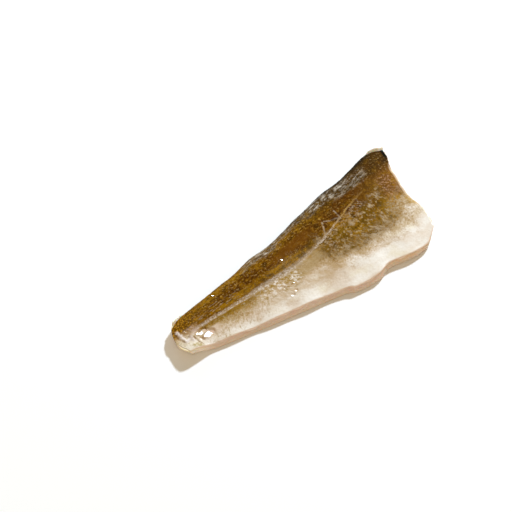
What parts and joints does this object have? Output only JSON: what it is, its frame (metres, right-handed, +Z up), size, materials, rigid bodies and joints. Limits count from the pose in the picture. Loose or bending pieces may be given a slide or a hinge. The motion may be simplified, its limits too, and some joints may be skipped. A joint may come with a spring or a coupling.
{
  "type": "fish fillet",
  "caption": "Skin-on fillet of desalted white fish lying flesh side down: thick loin, thin belly flap, pale lateral line, cut ends.",
  "frame": {"origin": "below the middle of the fillet's box, on the surface that the flesh side rests on", "axes": "+X from the tail end to the head end, +Y from the belly edge to the back edge, +Z up towards the skin"},
  "size_m": [0.2594, 0.1042, 0.019],
  "materials": {
    "skin": "wet fish skin, olive brown along the back and off-white at the belly",
    "flesh": "moist raw flesh, pale pinkish white"
  },
  "bodies": {
    "root": {"fillet": "skin"}
  },
  "joints": []
}
